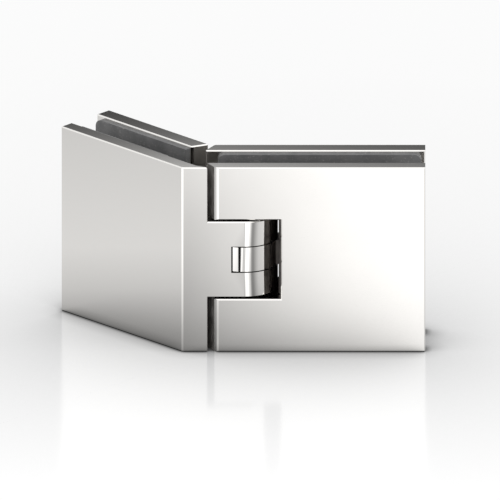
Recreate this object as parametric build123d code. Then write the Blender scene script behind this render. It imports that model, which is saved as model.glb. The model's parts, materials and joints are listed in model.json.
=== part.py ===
from build123d import *
import math
import os

os.makedirs("parts", exist_ok=True)

# All sizes are in millimetres and degrees. X runs along the closed door leaf, Y from
# front to back, Z up. The origin is on the pivot axis, level with the plates' lower edge.

# Leaves: two plates each, with a gasket on either side of the glass
plate_height = 80.0
front_plate_thickness = 6.2
back_plate_thickness = 7.1
gasket_thickness = 2.2
glass_thickness = 10.0
leaf_angle = 135.0
door_reach = 74.0
door_hinge_end = 11.65
end_lead_run = 0.9
end_lead_depth = 0.75
fixed_length = 70.0
bend_offset = 25.2
strip_thickness = 3.1
end_cut_angle = 60.0
fixed_end_angle = 67.5
edge_bevel = 0.45

# Barrel: two ears on the fixed leaf with the door's knuckle between them
tongue_height = 32.8
knuckle_gap = 0.35
knuckle_bevel = 0.12
pocket_clearance = 0.95
neck_clearance = 0.6
block_clearance = 0.35
notch_clearance = 1.25
notch_height_clearance = 0.8
strip_clearance = 0.8
back_end_clearance = 0.5

# Pin, bushes and washers
pin_radius = 5.0
pin_end_recess = 0.25
pin_end_bevel = 0.4
pin_flat_depth = 0.6
pin_seat_depth = 0.5
ear_bore_clearance = 0.02
running_clearance = 0.04
shoulder_clearance = 0.12
bush_wall = 1.0
bush_end_clearance = 0.1
washer_radius = 8.5
washer_thickness = 0.85
washer_recess = 0.55
washer_side_clearance = 0.1

# Self-centring plunger, disc springs and adjuster in the pivot block
plunger_radius = 2.0
plunger_collar_radius = 2.9
plunger_collar_length = 4.0
plunger_nose_length = 8.0
plunger_clearance = 0.05
spring_count = 4
spring_thickness = 0.4
spring_cone = 0.25
spring_hole_radius = 1.5
adjuster_radius = 3.5
adjuster_length = 12.0

# Clamping of the glass
web_reach = 34.0
block_reach = 38.0
door_boss_run = 28.0
fixed_boss_run = 24.0
boss_rise = 24.0
boss_radius = 6.0
cutout_margin = 1.5
cutout_radius = 4.0
clamp_gap = 0.3
block_height_clearance = 0.2
gasket_margin = 1.1
gasket_end_margin = 1.6
door_gasket_inset = 5.1
fixed_gasket_inset = 1.0
gasket_corner_radius = 3.0

# Fasteners
clamp_head_radius = 5.6
clamp_shank_radius = 3.0
clamp_socket = 4.0
clamp_socket_depth = 2.4
clamp_recess = 0.3
clamp_hole_clearance = 0.1
thread_engagement = 10.0
thread_runout = 1.0
block_screw_run = 26.0
block_screw_rise = 10.5
block_head_radius = 4.25
block_head_height = 4.0
block_shank_radius = 2.5
block_socket = 4.0
block_head_clearance = 0.15
block_thread_depth = 4.6
block_thread_runout = 0.6
set_screw_radius = 2.0
set_screw_recess = 0.5
set_screw_socket = 2.0
screw_edge = 0.3

# Working allowances: how far a cutting tool runs past its piece, and how far joined forms overlap
overshoot = 1.0
overlap = 1.0
same_place = 0.01

# What follows from them
slot_width = glass_thickness + 2 * gasket_thickness
leaf_thickness = front_plate_thickness + slot_width + back_plate_thickness
barrel_radius = leaf_thickness / 2
front_y = -barrel_radius
mid_height = plate_height / 2
knuckle_height = (tongue_height - 2 * knuckle_gap) / 3
ear_height = (tongue_height - knuckle_height) / 2 - knuckle_gap
tongue_bottom = mid_height - tongue_height / 2
knuckle_top = mid_height + knuckle_height / 2
knuckle_bottom = mid_height - knuckle_height / 2
notch_height = tongue_height + 2 * notch_height_clearance
notch_wall = barrel_radius + notch_clearance
pocket_radius = barrel_radius + pocket_clearance
neck_half = math.sqrt(pocket_radius**2 - barrel_radius**2) - neck_clearance
block_start = barrel_radius + block_clearance
strip_end = barrel_radius + strip_clearance
core_depth = front_plate_thickness + slot_width - clamp_gap
back_plate_depth = front_plate_thickness + slot_width
cut_slope = 1 / math.tan(math.radians(end_cut_angle))
fixed_end_lean = back_plate_thickness / math.tan(math.radians(fixed_end_angle))
cutout_rise = boss_rise + boss_radius + cutout_margin
bush_radius = pin_radius + running_clearance + bush_wall

up = Vector(0, 0, 1)
swing = math.radians(leaf_angle)
door = {
    "root": Vector(0, front_y),
    "along": Vector(1, 0),
    "back": Vector(0, 1),
}
fixed = {
    "root": Vector(-bend_offset, front_y),
    "along": Vector(math.cos(swing), math.sin(swing)),
    "back": Vector(math.sin(swing), -math.cos(swing)),
}
# The fixed back plate's rear corner stays clear of the door leaf when that is folded right back.
fixed_back_start = (
    bend_offset - barrel_radius - back_end_clearance - leaf_thickness * fixed["back"].X
) / fixed["along"].X
fixed_inner_end = fixed_back_start + fixed_end_lean


def at(leaf, run, depth, height=0.0):
    # A point by its run along a leaf, its depth behind the front face and its height.
    return leaf["root"] + leaf["along"] * run + leaf["back"] * depth + up * height


def prism(points, low, high):
    # A solid with a plan outline, standing between two heights.
    outline = make_face(Polyline(*points, close=True))
    return Pos(0, 0, low) * extrude(outline, high - low, dir=(0, 0, 1))


def slab(leaf, sketch, depth, thickness):
    # A sketch in run and height, thickened backwards from a depth of the leaf.
    plane = Plane(origin=at(leaf, 0, depth), x_dir=leaf["along"], z_dir=leaf["along"].cross(up))
    return extrude(plane * sketch, thickness, dir=leaf["back"])


def facing_back(leaf, run, depth, height):
    # A plane at a point of a leaf, whose own Z points to the back.
    return Plane(origin=at(leaf, run, depth, height), x_dir=up, z_dir=leaf["back"])


def rod(radius, length):
    return Cylinder(radius, length, align=(Align.CENTER, Align.CENTER, Align.MIN))


def loops(shape):
    # The edges round a solid's top and bottom faces.
    tops = shape.faces().filter_by(Plane.XY).sort_by(Axis.Z)
    return tops[-1].edges() + tops[0].edges()


def upright(shape, keep):
    # The vertical edges of a solid at the plan points to be bevelled.
    chosen = []
    for edge in shape.edges().filter_by(Axis.Z):
        middle = edge.center()
        if any((Vector(middle.X, middle.Y) - point).length < same_place for point in keep):
            chosen.append(edge)
    return ShapeList(chosen)


def bevelled_prism(points, bevelled, low, high):
    # A prism whose rims, and whose upright edges at the listed points, are bevelled.
    body = prism(points, low, high)
    return chamfer(loops(body) + upright(body, bevelled), edge_bevel)


def socket(size, depth):
    # A hexagon socket, by its size across the flats, that opens upwards at Z = 0.
    flats = RegularPolygon(size / 2, 6, major_radius=False)
    return Pos(0, 0, -depth) * extrude(flats, depth + overshoot)


def countersunk(length, grow=0.0, rise=0.0):
    # A countersunk screw with its head's face at Z = 0 and its shank pointing down. Grown all
    # round, and with its cone carried on upwards, it is the tool for the screw's hole.
    head = clamp_head_radius + grow
    shank = clamp_shank_radius + grow
    profile = Polyline(
        (0, rise),
        (head + rise, rise),
        (shank, shank - head),
        (shank, -length),
        (0, -length),
        close=True,
    )
    return revolve(Plane.XZ * make_face(profile), Axis.Z)


def cap_screw(head_radius, head_height, shank_radius, length):
    # A cylinder-head screw with the underside of its head at Z = 0.
    head = rod(head_radius, head_height)
    head = chamfer(head.edges().sort_by(Axis.Z)[-1], screw_edge)
    shank = Pos(0, 0, -length) * rod(shank_radius, length)
    return head + shank - Pos(0, 0, head_height) * socket(block_socket, head_height / 2)


def set_screw(radius, length, socket_size):
    # A headless screw with its socket end at Z = 0, pointing down.
    body = Pos(0, 0, -length) * rod(radius, length)
    return body - socket(socket_size, length / 3)


def notched(plate):
    # The opening at mid height that the fixed leaf's tongue and barrel fill.
    beyond = 4 * barrel_radius
    return plate - Pos(notch_wall - beyond / 2, 0, mid_height) * Box(beyond, beyond, notch_height)


def door_plate(outer, inner):
    # A door plate between the depths of its outer and its inner face. Its hinge end leans so
    # that the inner face is longer, and a flat leads over from the outer face to that end.
    inward = math.copysign(1, inner - outer)
    corners = [
        at(door, door_reach, outer),
        at(door, end_lead_run - door_hinge_end, outer),
        at(door, -door_hinge_end - end_lead_depth * cut_slope, outer + inward * end_lead_depth),
        at(door, -door_hinge_end - abs(inner - outer) * cut_slope, inner),
        at(door, door_reach, inner),
    ]
    plate = notched(prism(corners, 0, plate_height))
    rims = ShapeList([edge for face in plate.faces().filter_by(Axis.Y) for edge in face.edges()])
    return chamfer(rims, edge_bevel)


def gasket(leaf, depth, start, cutout_end, end, trimmed=0.0):
    # A rubber sheet with rounded corners, cut out round the pivot and its bosses. What is
    # trimmed off at the hinge takes the rounding of those corners with it.
    height = plate_height - 2 * gasket_margin
    sheet = RectangleRounded(end - start + trimmed, height, gasket_corner_radius)
    sheet = Pos((start - trimmed + end) / 2, mid_height) * sheet
    if trimmed > 0:
        sheet -= Pos(start - trimmed, mid_height) * Rectangle(2 * trimmed, plate_height)
    reach = cutout_end - start + cutout_radius
    hole = RectangleRounded(reach, 2 * cutout_rise, cutout_radius)
    hole = Pos(cutout_end - reach / 2, mid_height) * hole
    mouth = Pos(start, mid_height) * Rectangle(2 * cutout_radius, 2 * cutout_rise)
    return slab(leaf, sheet - hole - mouth, depth, gasket_thickness)


def bosses(leaf, run):
    # Two threaded bosses that reach from the front plate through the glass cut-out.
    both = []
    for rise in (boss_rise, -boss_rise):
        place = facing_back(leaf, run, front_plate_thickness, mid_height + rise)
        both.append(place * rod(boss_radius, core_depth - front_plate_thickness))
    return both


def clamp_screw_place(leaf, run, rise):
    return facing_back(leaf, run, leaf_thickness - clamp_recess, mid_height + rise)


clamp_length = leaf_thickness - clamp_recess - core_depth + thread_engagement


def clamp_holes(leaf, run):
    # The countersunk holes in a back plate.
    tools = []
    for rise in (boss_rise, -boss_rise):
        place = clamp_screw_place(leaf, run, rise)
        tools.append(place * countersunk(clamp_length, clamp_hole_clearance, 2 * clamp_recess))
    return tools


def clamp_threads(leaf, run):
    # The threaded holes in the bosses, a little deeper than the screws reach.
    tools = []
    for rise in (boss_rise, -boss_rise):
        place = facing_back(leaf, run, core_depth - thread_engagement - thread_runout, mid_height + rise)
        tools.append(place * rod(clamp_shank_radius, 2 * thread_engagement))
    return tools


def ear_screw_places():
    # The pin's set screws enter the ears from the back.
    for rise in (1, -1):
        height = mid_height + rise * (tongue_height - ear_height) / 2
        yield Plane(origin=(0, barrel_radius, height), x_dir=up, z_dir=(0, 1, 0))


# Fixed leaf: front plate, strip, tongue and ears in one casting
def make_fixed_front_plate():
    bend = at(fixed, 0, 0)
    inner_bend = at(fixed, 0, front_plate_thickness)
    corner_run = (front_y + strip_thickness - inner_bend.Y) / fixed["along"].Y
    strip_corner = at(fixed, corner_run, front_plate_thickness)
    strip_front = Vector(-strip_end, front_y)
    strip_rear = Vector(-strip_end - strip_thickness * cut_slope, front_y + strip_thickness)
    end_front = at(fixed, fixed_length, 0)
    end_rear = at(fixed, fixed_length, front_plate_thickness)
    plate = bevelled_prism(
        [bend, strip_front, strip_rear, strip_corner, end_rear, end_front],
        [bend, strip_front, strip_rear, end_rear, end_front],
        0,
        plate_height,
    )

    # The web's rear face meets the ears' round where both are as far from the axis.
    axis_depth = -bend.dot(fixed["back"])
    axis_run = -bend.dot(fixed["along"])
    meet_run = axis_run + math.sqrt(barrel_radius**2 - (axis_depth - core_depth) ** 2)
    meet = at(fixed, meet_run, core_depth)
    web_rear = at(fixed, web_reach, core_depth)
    web_front = at(fixed, web_reach, front_plate_thickness / 2)
    root = Vector(-bend_offset + overlap, front_y)
    outline = Curve() + [
        Line(root, (0, front_y)),
        ThreePointArc((0, front_y), (barrel_radius, 0), meet),
        Line(meet, web_rear),
        Line(web_rear, web_front),
        Line(web_front, root),
    ]
    tongue = Pos(0, 0, tongue_bottom) * extrude(make_face(outline), tongue_height, dir=(0, 0, 1))
    tongue = chamfer(loops(tongue), edge_bevel)
    body = plate + tongue + bosses(fixed, fixed_boss_run)

    pocket_height = knuckle_height + 2 * knuckle_gap
    body -= Pos(0, 0, mid_height - pocket_height / 2) * rod(pocket_radius, pocket_height)
    bore = rod(pin_radius + ear_bore_clearance, tongue_height + 2 * overshoot)
    body -= Pos(0, 0, tongue_bottom - overshoot) * bore
    body -= clamp_threads(fixed, fixed_boss_run)
    for place in ear_screw_places():
        body -= place * Pos(0, 0, -barrel_radius) * rod(set_screw_radius, 2 * barrel_radius)
    return body


def make_fixed_back_plate():
    corners = [
        at(fixed, fixed_inner_end, back_plate_depth),
        at(fixed, fixed_back_start, leaf_thickness),
        at(fixed, fixed_length, leaf_thickness),
        at(fixed, fixed_length, back_plate_depth),
    ]
    plate = bevelled_prism(corners, corners, 0, plate_height)
    return plate - clamp_holes(fixed, fixed_boss_run)


# Door leaf: plates, and the pivot block that carries the middle knuckle
def make_door_front_plate():
    plate = door_plate(0, front_plate_thickness) + bosses(door, door_boss_run)
    plate -= clamp_threads(door, door_boss_run)
    thread_end = front_plate_thickness - block_thread_depth
    for rise in (block_screw_rise, -block_screw_rise):
        place = facing_back(door, block_screw_run, thread_end, mid_height + rise)
        plate -= place * rod(block_shank_radius, 2 * block_thread_depth)
    return plate


def make_door_back_plate():
    return door_plate(leaf_thickness, back_plate_depth) - clamp_holes(door, door_boss_run)


washer_seat = knuckle_height / 2 - washer_recess
bush_length = washer_seat - plunger_radius - plunger_clearance - bush_end_clearance
nose_face = pin_radius + running_clearance
collar_face = nose_face + plunger_nose_length
collar_end = collar_face + plunger_collar_length
spring_pitch = spring_thickness + spring_cone
spring_end = collar_end + spring_count * spring_pitch
adjuster_end = spring_end + adjuster_length
block_rise = notch_height / 2 - block_height_clearance


def either_side(shape, side):
    # A shape drawn above the origin, put above or below the barrel's middle.
    return Pos(0, 0, mid_height) * (shape if side > 0 else Rot(180, 0, 0) * shape)


def along_x(x):
    # A plane across the plunger's bore, whose own Z runs away from the pin.
    return Plane(origin=(x, 0, mid_height), x_dir=(0, 0, 1), z_dir=(1, 0, 0))


def block_screw_places():
    for rise in (block_screw_rise, -block_screw_rise):
        depth = core_depth - block_head_height - clamp_gap
        yield facing_back(door, block_screw_run, depth, mid_height + rise)


def make_door_pivot_block():
    knuckle = Pos(0, 0, knuckle_bottom) * rod(barrel_radius, knuckle_height)
    knuckle = chamfer(knuckle.edges().filter_by(GeomType.CIRCLE), knuckle_bevel)
    neck_end = block_start + overlap
    neck = prism(
        [(0, -neck_half), (neck_end, -neck_half), (neck_end, neck_half), (0, neck_half)],
        knuckle_bottom + knuckle_bevel,
        knuckle_top - knuckle_bevel,
    )
    corners = [
        at(door, block_start, front_plate_thickness),
        at(door, block_reach, front_plate_thickness),
        at(door, block_reach, core_depth),
        at(door, block_start, core_depth),
    ]
    block = prism(corners, mid_height - block_rise, mid_height + block_rise)
    block = chamfer(block.edges().filter_by(Axis.Y), edge_bevel)
    body = knuckle + neck + block

    # Bore for the pin, opened out for the bushes and again for the washers
    bore = rod(pin_radius + shoulder_clearance, knuckle_height + 2 * overshoot)
    body -= Pos(0, 0, knuckle_bottom - overshoot) * bore
    for side in (1, -1):
        tool = Pos(0, 0, washer_seat - bush_length) * rod(bush_radius, knuckle_height)
        tool += Pos(0, 0, washer_seat) * rod(washer_radius + washer_side_clearance, knuckle_height)
        body -= either_side(tool, side)

    # Stepped bore for the plunger, its springs and the adjuster. The step leaves the collar its travel.
    step = collar_face - 2 * pin_flat_depth
    body -= along_x(pin_radius / 2) * rod(plunger_radius + plunger_clearance, collar_end)
    body -= along_x(step) * rod(plunger_collar_radius + plunger_clearance, spring_end)
    body -= along_x(spring_end) * rod(adjuster_radius, block_reach)
    for place in block_screw_places():
        body -= place * Pos(0, 0, -leaf_thickness) * rod(block_shank_radius, leaf_thickness + overshoot)
        body -= place * rod(block_head_radius + block_head_clearance, leaf_thickness)
    return body


def make_pin():
    length = tongue_height - 2 * pin_end_recess
    pin = Pos(0, 0, tongue_bottom + pin_end_recess) * rod(pin_radius, length)
    pin = chamfer(pin.edges().filter_by(GeomType.CIRCLE), pin_end_bevel)
    # Four flats for the plunger: closed, and a quarter turn either way
    milled = 2 * (plunger_radius + plunger_clearance)
    for turn in (0, 90, 180, 270):
        flat = Box(2 * pin_radius, 2 * pin_radius, milled)
        pin -= Rot(0, 0, turn) * Pos(2 * pin_radius - pin_flat_depth, 0, mid_height) * flat
    # Seats for the two set screws
    seat_width = 2 * (set_screw_radius + screw_edge)
    for place in ear_screw_places():
        seat = Box(seat_width, 2 * pin_radius, 2 * pin_radius)
        pin -= place * Pos(0, 0, 2 * pin_radius - pin_seat_depth - barrel_radius) * seat
    return pin


def make_bush(side):
    sleeve = rod(bush_radius, bush_length) - rod(pin_radius + running_clearance, bush_length)
    return either_side(Pos(0, 0, washer_seat - bush_length) * sleeve, side)


def make_washer(side):
    ring = rod(washer_radius, washer_thickness)
    ring -= rod(pin_radius + 2 * running_clearance, washer_thickness)
    return either_side(Pos(0, 0, washer_seat) * ring, side)


def make_plunger():
    nose = along_x(nose_face) * rod(plunger_radius, plunger_nose_length)
    nose = chamfer(nose.edges().filter_by(GeomType.CIRCLE).sort_by(Axis.X)[0], screw_edge)
    return nose + along_x(collar_face) * rod(plunger_collar_radius, plunger_collar_length)


def make_springs():
    # Coned discs, laid alternately so that rims and holes touch in turn
    discs = []
    for number in range(spring_count):
        hole_first = number % 2 == 0
        start = spring_cone if hole_first else 0.0
        finish = 0.0 if hole_first else spring_cone
        profile = Polyline(
            (spring_hole_radius, start),
            (plunger_collar_radius, finish),
            (plunger_collar_radius, finish + spring_thickness),
            (spring_hole_radius, start + spring_thickness),
            close=True,
        )
        disc = revolve(Plane.XZ * make_face(profile), Axis.Z)
        discs.append(along_x(collar_end + number * spring_pitch) * disc)
    return Compound(children=discs)


def make_adjuster():
    return along_x(adjuster_end) * set_screw(adjuster_radius, adjuster_length, block_socket)


def save(shape, name):
    export_step(shape, "parts/" + name + ".step")


save(make_fixed_front_plate(), "fixed_front_plate")
save(make_fixed_back_plate(), "fixed_back_plate")
save(make_door_front_plate(), "door_front_plate")
save(make_door_back_plate(), "door_back_plate")
save(make_door_pivot_block(), "door_pivot_block")
save(make_pin(), "hinge_pin")

gasket_sides = (
    ("front", front_plate_thickness),
    ("back", back_plate_depth - gasket_thickness),
)
for side, depth in gasket_sides:
    fixed_gasket = gasket(
        fixed,
        depth,
        fixed_inner_end + fixed_gasket_inset,
        web_reach + cutout_margin,
        fixed_length - gasket_end_margin,
        gasket_corner_radius,
    )
    save(fixed_gasket, "fixed_" + side + "_gasket")
    door_gasket = gasket(
        door,
        depth,
        door_gasket_inset - door_hinge_end - back_plate_thickness * cut_slope,
        block_reach + cutout_margin,
        door_reach - gasket_end_margin,
    )
    save(door_gasket, "door_" + side + "_gasket")

for name, side in (("upper", 1), ("lower", -1)):
    save(make_bush(side), "knuckle_bush_" + name)
    save(make_washer(side), "thrust_washer_" + name)
    for leaf_name, leaf, run in (("fixed", fixed, fixed_boss_run), ("door", door, door_boss_run)):
        screw = countersunk(clamp_length) - socket(clamp_socket, clamp_socket_depth)
        save(clamp_screw_place(leaf, run, side * boss_rise) * screw, leaf_name + "_clamp_screw_" + name)

set_screw_length = barrel_radius - set_screw_recess - pin_radius + pin_seat_depth
for name, place in zip(("upper", "lower"), ear_screw_places()):
    screw = set_screw(set_screw_radius, set_screw_length, set_screw_socket)
    save(place * Pos(0, 0, -set_screw_recess) * screw, "pin_set_screw_" + name)

block_screw_length = core_depth - clamp_gap - block_head_height - front_plate_thickness
block_screw_length += block_thread_depth - block_thread_runout
for name, place in zip(("upper", "lower"), block_screw_places()):
    screw = cap_screw(block_head_radius, block_head_height, block_shank_radius, block_screw_length)
    save(place * screw, "pivot_block_screw_" + name)

save(make_plunger(), "detent_plunger")
save(make_springs(), "detent_disc_springs")
save(make_adjuster(), "detent_adjuster_screw")
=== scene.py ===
import json
import math

import bmesh
import bpy
import numpy as np
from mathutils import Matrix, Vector


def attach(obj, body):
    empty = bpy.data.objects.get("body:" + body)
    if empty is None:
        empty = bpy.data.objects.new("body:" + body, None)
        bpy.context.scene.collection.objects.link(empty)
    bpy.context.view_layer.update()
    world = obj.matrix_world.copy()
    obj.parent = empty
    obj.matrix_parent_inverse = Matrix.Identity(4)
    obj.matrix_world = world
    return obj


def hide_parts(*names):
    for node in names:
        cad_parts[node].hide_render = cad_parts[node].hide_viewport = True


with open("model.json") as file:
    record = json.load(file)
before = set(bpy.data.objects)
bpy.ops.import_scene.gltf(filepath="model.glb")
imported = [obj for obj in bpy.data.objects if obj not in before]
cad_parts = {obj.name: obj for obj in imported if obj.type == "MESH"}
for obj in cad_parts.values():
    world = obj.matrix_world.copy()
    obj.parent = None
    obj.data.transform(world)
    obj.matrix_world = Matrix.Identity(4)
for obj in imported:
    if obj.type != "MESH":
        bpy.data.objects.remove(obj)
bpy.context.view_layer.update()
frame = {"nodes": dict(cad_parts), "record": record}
nodes = frame["nodes"]
mm = 0.001
print("frame loaded,", len(nodes), "nodes")


def linearColour(hexValue):
    # '#rrggbb' as sRGB, turned to the linear values that shaders use
    parts = np.array([int(hexValue[i:i + 2], 16) for i in (1, 3, 5)]) / 255
    parts = np.where(parts <= 0.04045, parts / 12.92, ((parts + 0.055) / 1.055) ** 2.4)
    return (*parts.tolist(), 1.0)


def grey(level):
    return (level, level, level, 1.0)


def addNode(tree, kind, inputs, **settings):
    # one shader node: each input, by name or place, gets a value or a link; settings are its own
    node = tree.nodes.new(kind)
    for name, value in settings.items():
        setattr(node, name, value)
    for name, value in inputs.items():
        if isinstance(value, bpy.types.NodeSocket):
            tree.links.new(value, node.inputs[name])
        else:
            node.inputs[name].default_value = value
    return node


def newMaterial(name):
    material = bpy.data.materials.new(name)
    material.use_nodes = True
    material.node_tree.nodes.clear()
    return material, material.node_tree


def addObject(name, data):
    item = bpy.data.objects.new(name, data)
    bpy.context.scene.collection.objects.link(item)
    return item


# Each look has noise patterns, as (size in millimetres, detail). The shade pattern leads its
# colours and its roughness. The relief pattern, or else the same one, leads its bump, whose depth
# is in millimetres. What is the same all over is under surface and goes straight to the shader.

# Polished chrome: copper, nickel and chromium plated on cast brass, then buffed. It mirrors the
# studio almost sharply, with the faint soft haze and the shallow waves that buffing leaves.
chromeLook = {
    "surface": {"Base Color": linearColour("#F3F1EE"), "Metallic": 1.0},
    "roughness": (0.035, 0.06),
    "patterns": {"shade": (30.0, 2.0), "relief": (22.0, 0.0)},
    "reliefDepth": 0.004,
}

# Unbuffed plate: the same plating on the notch's end wall, the bosses, the tongue and the block,
# where no buffing wheel gets in. Nickel dulled by the skin of the casting: soft in its gloss, with
# a fine pitted grain. Its dark colours are painted shade, for the faces that lie in the notch and
# inside the joint.
unbuffedShadedLook = {
    "surface": {"Metallic": 1.0},
    "colours": ("#3E3B39", "#5B5754"),
    "roughness": (0.34, 0.5),
    "patterns": {"shade": (4.0, 3.0), "relief": (0.28, 3.0)},
    "reliefDepth": 0.03,
}

# Blasted plate: bead-blasted before plating and never buffed. A matt light grey with a fine even
# grain, on the leaning ends that face each other and on the door front plate's inner face.
blastedLook = {
    "surface": {"Metallic": 1.0},
    "colours": ("#9A9793", "#ABA8A5"),
    "roughness": (0.6, 0.75),
    "patterns": {"shade": (5.0, 3.0), "relief": (0.16, 3.0)},
    "reliefDepth": 0.012,
}

# Black oxide on steel screws, lightly oiled: nearly black with a brown cast and a soft sheen.
oxideLook = {
    "surface": {"Metallic": 1.0},
    "colours": ("#1B1A1B", "#2E2A27"),
    "roughness": (0.28, 0.46),
    "patterns": {"shade": (1.6, 3.0), "relief": (0.12, 3.0)},
    "reliefDepth": 0.008,
}

# Spring steel strip, hardened, tempered and oiled: dark grey with the brown of tempering.
springLook = {
    "surface": {"Metallic": 1.0},
    "colours": ("#4C4947", "#6B6662"),
    "roughness": (0.22, 0.38),
    "patterns": {"shade": (1.2, 3.0), "relief": (0.1, 3.0)},
    "reliefDepth": 0.006,
}

# Stainless steel, centreless ground: bright, with fine lines round the axis it was ground about.
# Real grinding lines are under 0.01 mm apart, so these are drawn coarser, to show at all.
groundLook = {
    "surface": {"Metallic": 1.0},
    "colours": ("#B9B6B1", "#D2D0CC"),
    "roughness": (0.14, 0.26),
    "patterns": {"shade": (0.16, 1.0)},
    "reliefDepth": 0.002,
}

# Cold-headed steel screws, chrome plated: bright, with the rings of turning on head and cone.
# The rings are drawn at three times their real spacing.
turnedLook = {
    "surface": {"Metallic": 1.0},
    "colours": ("#D8D6D2", "#ECEAE6"),
    "roughness": (0.09, 0.17),
    "patterns": {"shade": (0.3, 1.0)},
    "reliefDepth": 0.002,
    "alongProfile": True,
}

# Rubber sheet, calendered and cut: dark grey and matt, with a fine grain and specks of filler.
rubberLook = {
    "surface": {"Roughness": 0.6},
    "colours": ("#6A6A6B", "#7B7B7B"),
    "speckColour": "#A09F9B",
    "speckSpan": (0.6, 0.75),
    "patterns": {"shade": (6.0, 2.0), "specks": (0.7, 4.0), "relief": (0.35, 3.0)},
    "reliefDepth": 0.06,
}

# Acetal, turned from rod: milky white, a little waxy, with faint turning rings round the bore.
acetalLook = {
    "surface": {
        "Roughness": 0.38,
        "IOR": 1.48,
        "Subsurface Weight": 0.15,
        "Subsurface Scale": 0.002,
    },
    "colours": ("#E4E3DC", "#F0EFE9"),
    "patterns": {"shade": (0.22, 1.0)},
    "reliefDepth": 0.004,
}

noiseSpan = {"From Min": 0.3, "From Max": 0.7}  # most of a noise pattern lies between these
roundZ, roundX = (40, 40, 1), (1, 40, 40)  # draws a pattern out to lines round the Z or X axis


def makeFinish(name, look, drawnOut=(1, 1, 1)):
    material, tree = newMaterial(name)
    if look.get("alongProfile"):
        # a screw's UV map holds the way along its profile, in millimetres
        place = addNode(tree, "ShaderNodeUVMap", {}, uv_map="profile").outputs["UV"]
    else:
        # Object coordinates in millimetres
        place = addNode(tree, "ShaderNodeTexCoord", {}).outputs["Object"]
        scale = tuple(1 / mm / length for length in drawnOut)
        place = addNode(tree, "ShaderNodeMapping", {"Vector": place, "Scale": scale}).outputs[0]
    patterns = {}
    for pattern, (size, detail) in look["patterns"].items():
        inputs = {"Vector": place, "Scale": 1 / size, "Detail": detail}
        patterns[pattern] = addNode(tree, "ShaderNodeTexNoise", inputs).outputs["Fac"]
    surface = dict(look["surface"])
    if "roughness" in look:
        low, high = look["roughness"]
        inputs = {"Value": patterns["shade"], "To Min": low, "To Max": high, **noiseSpan}
        surface["Roughness"] = addNode(tree, "ShaderNodeMapRange", inputs).outputs["Result"]
    if "colours" in look:
        first, second = (linearColour(colour) for colour in look["colours"])
        share = addNode(tree, "ShaderNodeMapRange", {"Value": patterns["shade"], **noiseSpan})
        inputs = {0: share.outputs["Result"], 6: first, 7: second}
        surface["Base Color"] = addNode(tree, "ShaderNodeMix", inputs, data_type="RGBA").outputs[2]
    if "specks" in patterns:
        low, high = look["speckSpan"]
        inputs = {"Value": patterns["specks"], "From Min": low, "From Max": high}
        share = addNode(tree, "ShaderNodeMapRange", inputs).outputs["Result"]
        inputs = {0: share, 6: surface["Base Color"], 7: linearColour(look["speckColour"])}
        surface["Base Color"] = addNode(tree, "ShaderNodeMix", inputs, data_type="RGBA").outputs[2]
    inputs = {
        "Height": patterns.get("relief", patterns["shade"]),
        "Distance": look["reliefDepth"] * mm,
    }
    surface["Normal"] = addNode(tree, "ShaderNodeBump", inputs).outputs["Normal"]
    shader = addNode(tree, "ShaderNodeBsdfPrincipled", surface)
    addNode(tree, "ShaderNodeOutputMaterial", {"Surface": shader.outputs["BSDF"]})
    return material


finishes = {
    "buffed": makeFinish("buffedChromePlate", chromeLook),
    # the unbuffed finish: a dull casting plate whose dark colours are painted shade
    "unbuffedShaded": makeFinish("unbuffedNickelPaintedShade", unbuffedShadedLook),
    "blasted": makeFinish("blastedNickelPlate", blastedLook),
    "oxide": makeFinish("blackOxideSteel", oxideLook),
    "spring": makeFinish("temperedSpringSteel", springLook),
    "ground": makeFinish("groundStainlessPin", groundLook, roundZ),
    "plunger": makeFinish("groundStainlessPlunger", groundLook, roundX),
    "turned": makeFinish("turnedChromeScrew", turnedLook),
    "rubber": makeFinish("calenderedRubber", rubberLook),
    "acetal": makeFinish("turnedAcetal", acetalLook, roundZ),
}
print("finishes made,", len(finishes))


# where things are: the two leaves' own axes, as in the CAD, in millimetres
barrelRadius = 13.85
leafThickness = 27.7
midHeight = 40.0
bend = -25.2  # where the strip in front of the joint turns into the fixed leaf's front face
diagonal = math.sqrt(0.5)
leaves = {
    "door": {"root": (0, -barrelRadius), "along": (1, 0), "back": (0, 1)},
    "fixed": {
        "root": (bend, -barrelRadius),
        "along": (-diagonal, diagonal),
        "back": (diagonal, diagonal),
    },
}
bodyOf = {}
for bodyName, members in frame["record"]["behaviour"]["bodies"].items():
    for member in members:
        bodyOf[member] = bodyName


def onLeaf(leafName, run, depth, height):
    leaf = leaves[leafName]
    spot = [r + a * run + b * depth for r, a, b in zip(leaf["root"], leaf["along"], leaf["back"])]
    return np.array([*spot, height])


def declare(piece, node):
    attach(piece, bodyOf[node])
    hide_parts(node)


def closeSkin(mesh, skin):
    # merges the points that lie together and shades smoothly over all but the sharp edges
    work = bmesh.new()
    work.from_mesh(mesh)
    bmesh.ops.remove_doubles(work, verts=work.verts, dist=skin["weld"])
    if skin["turnOut"]:
        bmesh.ops.recalc_face_normals(work, faces=work.faces)
    work.to_mesh(mesh)
    work.free()
    mesh.shade_smooth()
    mesh.update()
    mesh.set_sharp_from_angle(angle=math.radians(skin["sharpAngle"]))


castSkin = {"weld": 1e-6, "turnOut": False, "sharpAngle": 12}


def smoothCopy(node):
    # the CAD node's own shape as one skin, so that its round faces shade smoothly
    mesh = nodes[node].data.copy()
    mesh.name = node + "_finished"
    if "custom_normal" in mesh.attributes:
        mesh.attributes.remove(mesh.attributes["custom_normal"])
    closeSkin(mesh, castSkin)
    mesh.materials.clear()
    piece = addObject(mesh.name, mesh)
    # large faces keep their own normal where a round runs into them
    flats = piece.modifiers.new("flats", "WEIGHTED_NORMAL")
    flats.weight = 100
    flats.keep_sharp = True
    declare(piece, node)
    return piece


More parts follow.
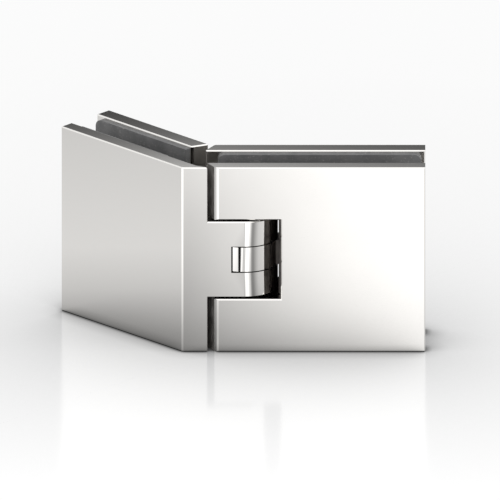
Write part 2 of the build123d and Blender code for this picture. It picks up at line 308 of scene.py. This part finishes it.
def faceValues(mesh, leafName):
    # each face's middle and normal, and their parts along and behind the leaf, as arrays
    count = len(mesh.polygons)
    middle = np.empty(count * 3)
    normal = np.empty(count * 3)
    mesh.polygons.foreach_get("center", middle)
    mesh.polygons.foreach_get("normal", normal)
    middle = middle.reshape(-1, 3) / mm
    normal = normal.reshape(-1, 3)
    leaf = leaves[leafName]
    along, back = np.array(leaf["along"]), np.array(leaf["back"])
    plan = middle[:, :2] - np.array(leaf["root"])
    return {
        "height": middle[:, 2],
        "run": plan @ along,
        "depth": plan @ back,
        "y": middle[:, 1],
        "fromPin": np.hypot(middle[:, 0], middle[:, 1]),
        "outward": middle[:, 0] * normal[:, 0] + middle[:, 1] * normal[:, 1],
        "alongNormal": normal[:, :2] @ along,
        "backNormal": normal[:, :2] @ back,
        "xNormal": normal[:, 0],
        "yNormal": normal[:, 1],
        "upNormal": np.abs(normal[:, 2]),
    }


# The castings have three finishes, chosen face by face. The borders between them are places in
# millimetres and parts of the faces' normals. The unbuffed finish's dark colours are painted
# shade, on the faces that lie in the notch and inside the joint.
castFinishes = ("buffed", "unbuffedShaded", "blasted")
buffed, unbuffedShaded, blasted = range(3)
slack = 0.05
notchReach = 18.0  # up and down from mid height


def about(values, wanted):
    return np.abs(values - wanted) < slack


def besideTheBarrel(face):
    return np.abs(face["height"] - midHeight) < notchReach


doorPlateBorders = {
    "bevel": 0.9,  # the leaning end is blasted from this deep, below its buffed bevel
    "leaning": -0.87,  # its normal along the leaf
    "inner": 6.2,  # how deep the inner face lies
    "flat": 0.9,
    "boss": 7.2,  # all that is deeper belongs to a boss
    "notchWall": -0.95,  # its normal along the leaf, at most
}


def doorPlateFinish(face, outer):
    # blasted on the leaning end and the inner face, unbuffed on the notch's end wall and bosses,
    # whose dark colour there is painted shade
    border = doorPlateBorders
    depth = np.abs(face["depth"] - outer)
    leaning = about(face["alongNormal"], border["leaning"]) & (depth > border["bevel"])
    inner = about(depth, border["inner"]) & (np.abs(face["backNormal"]) > border["flat"])
    notchWall = besideTheBarrel(face) & (face["alongNormal"] < border["notchWall"])
    dullAndShaded = notchWall | (depth > border["boss"])
    return np.select([leaning | inner, dullAndShaded], [blasted, unbuffedShaded], buffed)


fixedFrontBorders = {
    "thickness": 6.3,  # a little over the plate's own
    "frontDepth": 0.5,
    "frontNormal": -0.35,
    "stripFront": -13.2,
    "stripNormal": -0.6,
    "stripEnd": -10.5,
    "stripEndNormal": 0.87,
    "endHeight": 38.0,
    "farEnd": 69.0,
    "barrelRound": 12.9,  # the ears' round and the pocket lie further from the pin than these
    "pocketWall": 14.0,
    "outward": 8.0,  # how far a face's plane is from the pin, seen along its normal
    "tongue": 18.0,  # where the tongue starts along the leaf
    "upright": 0.1,
}


def fixedFrontFinish(face):
    # buffed on the front faces, the ears' round, the pocket and the plate's own ends, blasted on
    # the strip's end
    border = fixedFrontBorders
    beside = besideTheBarrel(face)
    inPlate = face["depth"] < border["thickness"]
    earRound = (face["fromPin"] > border["barrelRound"]) & (face["outward"] > border["outward"])
    earRound &= beside & (face["run"] < border["tongue"])
    pocket = (face["fromPin"] > border["pocketWall"]) & (face["outward"] < -border["outward"])
    pocket &= beside & (face["upNormal"] < border["upright"])
    front = (face["backNormal"] < border["frontNormal"]) & (face["depth"] < border["frontDepth"])
    front |= (face["yNormal"] < border["stripNormal"]) & (face["y"] < border["stripFront"])
    ends = inPlate & (np.abs(face["height"] - midHeight) > border["endHeight"])
    farEnd = inPlate & (face["run"] > border["farEnd"])
    stripEnd = about(face["xNormal"], border["stripEndNormal"]) & (face["y"] < border["stripEnd"])
    bright = earRound | pocket | front | ends | farEnd
    # all else is unbuffed, its dark colour painted shade for the faces inside the joint
    return np.select([stripEnd, bright], [blasted, buffed], unbuffedShaded)


blockBorders = {"barrelRound": 12.9, "outward": 8.0, "knuckle": 13.5, "rim": 0.3}


def pivotBlockFinish(face):
    # only the knuckle's round is buffed, not its rims; the rest is unbuffed, its dark colour
    # painted shade
    border = blockBorders
    knuckle = (face["fromPin"] > border["barrelRound"]) & (face["outward"] > border["outward"])
    knuckle &= (face["run"] < border["knuckle"]) & (face["upNormal"] < border["rim"])
    return np.where(knuckle, buffed, unbuffedShaded)


castings = {
    "door_front_plate": ("door", lambda face: doorPlateFinish(face, 0.0)),
    "door_back_plate": ("door", lambda face: doorPlateFinish(face, leafThickness)),
    "fixed_front_plate": ("fixed", fixedFrontFinish),
    "fixed_back_plate": ("fixed", lambda face: np.full(len(face["depth"]), buffed)),
    "door_pivot_block": ("door", pivotBlockFinish),
}
for node, (leafName, choose) in castings.items():
    piece = smoothCopy(node)
    for finish in castFinishes:
        piece.data.materials.append(finishes[finish])
    chosen = choose(faceValues(piece.data, leafName)).astype(np.int32)
    piece.data.polygons.foreach_set("material_index", chosen)
    counts = np.bincount(chosen, minlength=len(castFinishes)).tolist()
    print(node, "finished: faces buffed, unbuffed and blasted", counts)

plainFinishes = {
    "fixed_front_gasket": "rubber",
    "fixed_back_gasket": "rubber",
    "door_front_gasket": "rubber",
    "door_back_gasket": "rubber",
    "hinge_pin": "ground",
    "detent_plunger": "plunger",
    "detent_disc_springs": "spring",
    "knuckle_bush_upper": "acetal",
    "knuckle_bush_lower": "acetal",
    "thrust_washer_upper": "acetal",
    "thrust_washer_lower": "acetal",
}
for node, finish in plainFinishes.items():
    smoothCopy(node).data.materials.append(finishes[finish])
print("gaskets, pin, bushes and plunger finished")


# The screws, in millimetres. Each is one closed skin of rings, from the middle of its tip to the
# middle of its socket.
threadForm = {
    "depth": 0.61,  # from crest to root, in pitches
    "crestGap": 0.03,  # the crest stays this far inside the screw's full radius
    "chamfer": 0.3,  # the first full ring's height over the tip
    "ringsPerTurn": 8,
    "ridgeWidth": 1.4,  # these two leave a quarter of the pitch at the ridge's full height
    "ridgeSlope": 3.2,
    "tip": 0.5,  # the flat of the tip, as a share of the core
}
socketForm = {
    "mouth": 0.62,  # radii are shares of the width across flats
    "mouthDepth": 0.18,
    "drillEdge": 0.3,
    "drillEdgeDrop": 0.1,
    "drillPointDrop": 0.2,
}
screwSkin = {"weld": 1e-7, "turnOut": True, "sharpAngle": 16}


def hexagon(angle, acrossFlats):
    # the distance from the middle of a hexagon to its side in each direction
    return acrossFlats / 2 / np.cos((angle + math.pi / 6) % (math.pi / 3) - math.pi / 6)


def screwRings(screw, angle):
    # A ring's radius is a function of the angle: round on the shank, six-sided in the socket, and
    # on the thread it rises and falls with the height, in pitches, less the share of a turn.
    # Heights count up from the tip, and each row of the result is one ring.
    pitch = screw["pitch"]
    core = screw["radius"] - threadForm["depth"] * pitch
    crest = screw["radius"] - threadForm["crestGap"]
    threadHeights = np.arange(
        threadForm["chamfer"], screw["thread"], pitch / threadForm["ringsPerTurn"]
    )
    heights = np.concatenate([np.zeros(2), threadHeights])[:, None] + 0 * angle
    turn = (heights / pitch - angle / (2 * math.pi)) % 1.0
    ridge = threadForm["ridgeWidth"] - np.abs(turn - 0.5) * threadForm["ridgeSlope"]
    fade = np.clip(heights / pitch, 0, 1) * np.clip((screw["thread"] - heights) / pitch, 0, 1)
    radii = core + (crest - core) * np.clip(ridge, 0, 1) * fade
    radii[0] = threadForm["tip"] * core
    flat, top = screw["socket"], screw["length"]
    bottom = top - screw["socketDepth"]
    rest = screw["profile"] + [
        (flat * socketForm["mouth"], top),
        (hexagon(angle, flat), top - socketForm["mouthDepth"]),
        (hexagon(angle, flat), bottom),
        (flat * socketForm["drillEdge"], bottom - socketForm["drillEdgeDrop"]),
    ]
    radii = np.vstack([radii] + [radius + 0 * angle for radius, _ in rest])
    heights = np.vstack([heights] + [height + 0 * angle for _, height in rest])
    return radii, heights


def makeScrew(node, screw, origin, axis):
    # the rings' points, carried to the screw's place: origin is the middle of its socket end
    count = screw["segments"]
    angle = np.arange(count) * 2 * math.pi / count
    radii, heights = screwRings(screw, angle)
    axis = np.array(axis, float)
    side = np.array([0.0, 0.0, 1.0])
    across = np.cross(axis, side)
    heights = heights - screw["length"]
    points = (
        origin
        + radii[..., None] * (np.cos(angle)[:, None] * side + np.sin(angle)[:, None] * across)
        + heights[..., None] * axis
    ).reshape(-1, 3)
    tip = origin + axis * heights[0, 0]
    pit = origin + axis * (heights[-1, 0] - socketForm["drillPointDrop"])
    points = np.vstack([points, tip, pit]) * mm
    # four-sided faces between the rings, and a fan of triangles at each end
    rings = len(radii)
    around = np.arange(count)
    after = (around + 1) % count
    row = np.arange(rings - 1)[:, None] * count
    above = row + count
    quads = np.stack([row + around, row + after, above + after, above + around], axis=-1)
    last = (rings - 1) * count
    tipFan = np.stack([after, around, np.full(count, rings * count)], axis=-1)
    pitFan = np.stack([last + around, last + after, np.full(count, rings * count + 1)], axis=-1)
    faces = quads.reshape(-1, 4).tolist() + tipFan.tolist() + pitFan.tolist()
    name = node + "_turned"
    mesh = bpy.data.meshes.new(name)
    mesh.from_pydata(points.tolist(), [], faces)
    closeSkin(mesh, screwSkin)
    # the way along the profile, in millimetres, for the turning rings
    corners = np.empty(len(mesh.loops), np.int32)
    mesh.loops.foreach_get("vertex_index", corners)
    spots = np.empty(len(mesh.vertices) * 3)
    mesh.vertices.foreach_get("co", spots)
    away = spots.reshape(-1, 3) / mm - origin
    climb = away @ axis
    reach = np.linalg.norm(away - climb[:, None] * axis, axis=1)
    way = np.stack([reach - climb, np.zeros(len(reach))], axis=-1)[corners]
    mesh.uv_layers.new(name="profile").data.foreach_set("uv", way.ravel())
    mesh.materials.append(finishes[screw["finish"]])
    declare(addObject(name, mesh), node)


# A profile goes on from the thread to the socket's mouth, as (radius, height).
# M6 countersunk screw: its head's rim is rounded off by the heading tool
clampScrew = {
    "radius": 3.0,
    "pitch": 1.0,
    "length": 17.1,
    "thread": 13.4,
    "profile": [
        (2.95, 13.6), (2.95, 14.45), (5.35, 16.85), (5.52, 16.96), (5.52, 17.04), (5.4, 17.1),
    ],
    "socket": 4.0,
    "socketDepth": 2.4,
    "segments": 96,
    "finish": "turned",
}
# M5 cap screw
blockScrew = {
    "radius": 2.5,
    "pitch": 0.8,
    "length": 17.8,
    "thread": 12.6,
    "profile": [
        (2.45, 12.9), (2.45, 13.8), (4.1, 13.8), (4.22, 13.95), (4.22, 17.45), (3.95, 17.8),
    ],
    "socket": 4.0,
    "socketDepth": 2.0,
    "segments": 96,
    "finish": "oxide",
}
# M4 set screw
pinScrew = {
    "radius": 2.0,
    "pitch": 0.7,
    "length": 8.85,
    "thread": 8.6,
    "profile": [(1.75, 8.7), (1.65, 8.85)],
    "socket": 2.0,
    "socketDepth": 2.9,
    "segments": 72,
    "finish": "oxide",
}
# M7 adjuster behind the disc springs, and how far from the pin its socket end is
adjusterScrew = {
    "radius": 3.5,
    "pitch": 1.0,
    "length": 12.0,
    "thread": 11.7,
    "profile": [(3.15, 11.8), (3.0, 12.0)],
    "socket": 4.0,
    "socketDepth": 4.0,
    "segments": 96,
    "finish": "oxide",
    "fromPin": 31.64,
}
# the pairs: which screw and leaf, how far along the leaf, how deep from its front face, and how
# far above and below mid height
screwPairs = {
    "door_clamp_screw_": (clampScrew, "door", 28.0, leafThickness - 0.3, 24.0),
    "fixed_clamp_screw_": (clampScrew, "fixed", 24.0, leafThickness - 0.3, 24.0),
    "pivot_block_screw_": (blockScrew, "door", 26.0, 20.0, 10.5),
    "pin_set_screw_": (pinScrew, "door", 0.0, leafThickness - 0.5, 11.05),
}
for end, sign in (("upper", 1), ("lower", -1)):
    for pair, (screw, leafName, run, depth, rise) in screwPairs.items():
        spot = onLeaf(leafName, run, depth, midHeight + sign * rise)
        makeScrew(pair + end, screw, spot, (*leaves[leafName]["back"], 0))
spot = np.array([adjusterScrew["fromPin"], 0, midHeight])
makeScrew("detent_adjuster_screw", adjusterScrew, spot, (1, 0, 0))
print("screws turned")


def greyRamp(tree, source, low, high, stops):
    # grey levels along one number that runs from low to high, from (number, level) pairs
    inputs = {"Value": source, "From Min": low, "From Max": high}
    share = addNode(tree, "ShaderNodeMapRange", inputs).outputs["Result"]
    ramp = addNode(tree, "ShaderNodeValToRGB", {"Fac": share})
    elements = ramp.color_ramp.elements
    while len(elements) < len(stops):
        elements.new(0.5)
    for element, (number, level) in zip(elements, stops):
        element.position = (number - low) / (high - low)
        element.color = grey(level)
    return ramp.outputs["Color"]


# The world is white. What the chrome sees in it are two rings of grey levels by the angle from
# the front, in degrees, below the horizon and above it, and a light overhead. The horizon blends
# the rings, and the light's share grows, by the height of the direction, from 0 to 1.
worldLook = {
    "lowRing": [
        (-180, 0.75), (-135, 0.9), (-95, 1.11), (-78, 1.11), (-64, 0.8), (-55, 0.8), (-42, 1.85),
        (-20.4, 1.85), (-19, 0.02), (-11.9, 0.02), (-10.4, 2.0), (-5.2, 2.0), (-3.2, 0.75),
        (-1.8, 0.75), (-0.8, 1.15), (0.8, 1.15), (1.8, 0.75), (3, 0.75), (5, 1.7), (14, 1.6),
        (18.6, 1.02), (22, 0.8), (25.5, 0.37), (29, 0.25), (33, 0.27), (43, 0.47), (51, 0.59),
        (70, 0.64), (90, 0.66), (135, 0.7), (180, 0.75),
    ],
    "highRing": [(-180, 0.3), (-140, 0.35), (-100, 1.1), (100, 1.1), (140, 0.35), (180, 0.3)],
    "horizon": (-0.02, 0.04),
    "overhead": [(0.0, 0.0), (0.66, 0.0), (0.82, 1.0), (1.0, 1.0)],
    "overheadLevel": 1.25,
}


def makeWorld():
    world = bpy.data.worlds.new("studio")
    bpy.context.scene.world = world
    world.use_nodes = True
    tree = world.node_tree
    tree.nodes.clear()
    view = addNode(tree, "ShaderNodeTexCoord", {}).outputs["Generated"]
    axes = addNode(tree, "ShaderNodeSeparateXYZ", {0: view}).outputs
    inputs = {0: axes["Y"], 1: -1.0}
    front = addNode(tree, "ShaderNodeMath", inputs, operation="MULTIPLY").outputs[0]
    inputs = {0: axes["X"], 1: front}
    angle = addNode(tree, "ShaderNodeMath", inputs, operation="ARCTAN2").outputs[0]
    turn = addNode(tree, "ShaderNodeMath", {0: angle}, operation="DEGREES").outputs[0]
    low = greyRamp(tree, turn, -180, 180, worldLook["lowRing"])
    high = greyRamp(tree, turn, -180, 180, worldLook["highRing"])
    share = greyRamp(tree, axes["Z"], 0, 1, worldLook["overhead"])
    inputs = {0: share, 6: high, 7: grey(worldLook["overheadLevel"])}
    high = addNode(tree, "ShaderNodeMix", inputs, data_type="RGBA").outputs[2]
    under, over = worldLook["horizon"]
    inputs = {"Value": axes["Z"], "From Min": under, "From Max": over}
    share = addNode(tree, "ShaderNodeMapRange", inputs).outputs["Result"]
    both = addNode(tree, "ShaderNodeMix", {0: share, 6: low, 7: high}, data_type="RGBA").outputs[2]
    glossy = addNode(tree, "ShaderNodeLightPath", {}).outputs["Is Glossy Ray"]
    seen = addNode(tree, "ShaderNodeMix", {0: glossy, 6: grey(1.0), 7: both}, data_type="RGBA")
    light = addNode(tree, "ShaderNodeBackground", {"Color": seen.outputs[2], "Strength": 1.0})
    addNode(tree, "ShaderNodeOutputWorld", {"Surface": light.outputs[0]})


def stagePlane(name, corners):
    mesh = bpy.data.meshes.new(name)
    mesh.from_pydata(corners, [], [(0, 1, 2, 3)])
    plane = addObject(name, mesh)
    return plane


# The floor, in metres. It is darker near the piece: softly over the shadow's reach, and more at
# its contact and touch.
floorLook = {
    "half": 12.0,
    "shadowReach": 0.30,
    "contactReach": 0.010,
    "contactShare": 0.7,
    "touchReach": 0.003,
    "shadowSamples": 16,
    "white": 1.065,
    "reach": 0.4,  # over this length the white rises, by farther all round and nearer to the front
    "farther": 0.03,
    "nearer": 0.25,
    "mirror": 0.15,
    "roughness": 0.12,
    "bounce": 0.85,
    # how bright the floor looks in the chrome, by its place along X, and its rise to the front
    "inChrome": [
        (-0.30, 0.60), (-0.15, 0.72), (-0.10, 0.64), (-0.06, 0.50), (-0.034, 0.375),
        (-0.024, 0.37), (-0.016, 0.44), (-0.009, 0.515), (0.025, 0.84), (0.047, 1.0),
        (0.070, 1.13), (0.150, 1.2),
    ],
    "frontRise": 1.9,
    "frontLevel": 1.3,
}


def makeFloor():
    look = floorLook
    half = look["half"]
    corners = [(-half, -half, 0), (half, -half, 0), (half, half, 0), (-half, half, 0)]
    floor = stagePlane("floor", corners)
    material, tree = newMaterial("whiteSweep")
    place = addNode(tree, "ShaderNodeTexCoord", {}).outputs["Object"]
    axes = addNode(tree, "ShaderNodeSeparateXYZ", {0: place}).outputs
    samples = look["shadowSamples"]
    wide, near, touch = (
        addNode(tree, "ShaderNodeAmbientOcclusion", {"Distance": look[reach]}, samples=samples)
        for reach in ("shadowReach", "contactReach", "touchReach")
    )
    multiplied = {"data_type": "RGBA", "blend_type": "MULTIPLY"}
    inputs = {0: look["contactShare"], 6: wide.outputs["AO"], 7: near.outputs["AO"]}
    shade = addNode(tree, "ShaderNodeMix", inputs, **multiplied).outputs[2]
    inputs = {0: 1.0, 6: shade, 7: touch.outputs["AO"]}
    shade = addNode(tree, "ShaderNodeMix", inputs, **multiplied).outputs[2]
    # seen in the chrome: darkest by the bend, brighter to both sides and away to the front
    ahead = addNode(tree, "ShaderNodeMath", {0: axes["Y"], 1: barrelRadius * mm}, operation="ADD")
    inputs = {0: ahead.outputs[0], 1: -look["frontRise"]}
    ahead = addNode(tree, "ShaderNodeMath", inputs, operation="MULTIPLY", use_clamp=True).outputs[0]
    stops = look["inChrome"]
    across = greyRamp(tree, axes["X"], stops[0][0], stops[-1][0], stops)
    inputs = {0: ahead, 6: across, 7: grey(look["frontLevel"])}
    lit = addNode(tree, "ShaderNodeMix", inputs, data_type="RGBA").outputs[2]
    lit = addNode(tree, "ShaderNodeMix", {0: 1.0, 6: lit, 7: shade}, **multiplied).outputs[2]
    through = addNode(tree, "ShaderNodeBsdfTransparent", {"Color": lit}).outputs[0]
    # seen by the camera: white, shaded near the piece, with a faint mirror image
    away = addNode(tree, "ShaderNodeVectorMath", {0: place}, operation="LENGTH").outputs["Value"]
    inputs = {0: away, 1: 1 / look["reach"]}
    far = addNode(tree, "ShaderNodeMath", inputs, operation="MULTIPLY", use_clamp=True).outputs[0]
    inputs = {0: axes["Y"], 1: -1 / look["reach"]}
    fore = addNode(tree, "ShaderNodeMath", inputs, operation="MULTIPLY", use_clamp=True).outputs[0]
    inputs = {0: far, 1: look["farther"], 2: look["white"]}
    level = addNode(tree, "ShaderNodeMath", inputs, operation="MULTIPLY_ADD").outputs[0]
    inputs = {0: fore, 1: look["nearer"], 2: level}
    level = addNode(tree, "ShaderNodeMath", inputs, operation="MULTIPLY_ADD").outputs[0]
    paint = addNode(tree, "ShaderNodeEmission", {"Color": shade, "Strength": level}).outputs[0]
    mirror = addNode(tree, "ShaderNodeBsdfGlossy", {"Roughness": look["roughness"]}).outputs[0]
    inputs = {0: look["mirror"], 1: paint, 2: mirror}
    shown = addNode(tree, "ShaderNodeMixShader", inputs).outputs[0]
    bounce = addNode(tree, "ShaderNodeBsdfDiffuse", {"Color": grey(look["bounce"])}).outputs[0]
    path = addNode(tree, "ShaderNodeLightPath", {}).outputs
    inputs = {0: path["Is Camera Ray"], 1: bounce, 2: shown}
    byCamera = addNode(tree, "ShaderNodeMixShader", inputs).outputs[0]
    inputs = {0: path["Is Glossy Ray"], 1: byCamera, 2: through}
    byGloss = addNode(tree, "ShaderNodeMixShader", inputs).outputs[0]
    addNode(tree, "ShaderNodeOutputMaterial", {"Surface": byGloss})
    floor.data.materials.append(material)


# a graded card behind the piece, in metres, which only the chrome sees: it darkens downwards, and
# to the right of darkerFrom
cardLook = {
    "distance": 0.25,
    "half": 0.6,
    "bottom": 0.085,
    "top": 0.21,
    "level": 0.235,  # at levelHeight
    "levelHeight": 0.1674,
    "rise": 74.0,  # the level grows e-fold for each 1/74 m upwards
    "fall": 7.5,  # and falls e-fold for each 1/7.5 m to the right
    "darkerFrom": -0.018,
    "brightest": 1.1,
}


def makeBackCard():
    look = cardLook
    half, y, bottom, top = look["half"], look["distance"], look["bottom"], look["top"]
    corners = [(-half, y, bottom), (half, y, bottom), (half, y, top), (-half, y, top)]
    card = stagePlane("backCard", corners)
    for rays in ("camera", "diffuse", "transmission", "volume_scatter", "shadow"):
        setattr(card, "visible_" + rays, False)
    material, tree = newMaterial("gradedCard")
    place = addNode(tree, "ShaderNodeTexCoord", {}).outputs["Object"]
    axes = addNode(tree, "ShaderNodeSeparateXYZ", {0: place}).outputs
    inputs = {0: axes["Z"], 1: look["levelHeight"]}
    up = addNode(tree, "ShaderNodeMath", inputs, operation="SUBTRACT").outputs[0]
    inputs = {0: axes["X"], 1: look["darkerFrom"]}
    side = addNode(tree, "ShaderNodeMath", inputs, operation="SUBTRACT").outputs[0]
    side = addNode(tree, "ShaderNodeMath", {0: side, 1: 0.0}, operation="MAXIMUM").outputs[0]
    inputs = {0: side, 1: -look["fall"]}
    side = addNode(tree, "ShaderNodeMath", inputs, operation="MULTIPLY").outputs[0]
    inputs = {0: up, 1: look["rise"], 2: side}
    grade = addNode(tree, "ShaderNodeMath", inputs, operation="MULTIPLY_ADD").outputs[0]
    grade = addNode(tree, "ShaderNodeMath", {0: grade}, operation="EXPONENT").outputs[0]
    inputs = {0: grade, 1: look["level"]}
    level = addNode(tree, "ShaderNodeMath", inputs, operation="MULTIPLY").outputs[0]
    inputs = {0: level, 1: look["brightest"]}
    level = addNode(tree, "ShaderNodeMath", inputs, operation="MINIMUM").outputs[0]
    glow = addNode(tree, "ShaderNodeEmission", {"Strength": level}).outputs[0]
    addNode(tree, "ShaderNodeOutputMaterial", {"Surface": glow})
    card.data.materials.append(material)


camera = {
    "aim": (2.449 * mm, 0.0, 39.22 * mm),
    "elevation": 20.0,
    "distance": 1.0,
    "width": 204.08 * mm,
    "clipEnd": 100.0,
}


def makeCamera():
    data = bpy.data.cameras.new("camera")
    data.type = "ORTHO"
    data.ortho_scale = camera["width"]
    data.clip_end = camera["clipEnd"]
    item = addObject("camera", data)
    tilt = math.radians(camera["elevation"])
    back = Vector((0, -math.cos(tilt), math.sin(tilt))) * camera["distance"]
    item.location = Vector(camera["aim"]) + back
    item.rotation_euler = (math.pi / 2 - tilt, 0, 0)
    bpy.context.scene.camera = item


makeWorld()
makeFloor()
makeBackCard()
makeCamera()
bpy.context.scene.view_settings.view_transform = "Standard"
print("studio set")
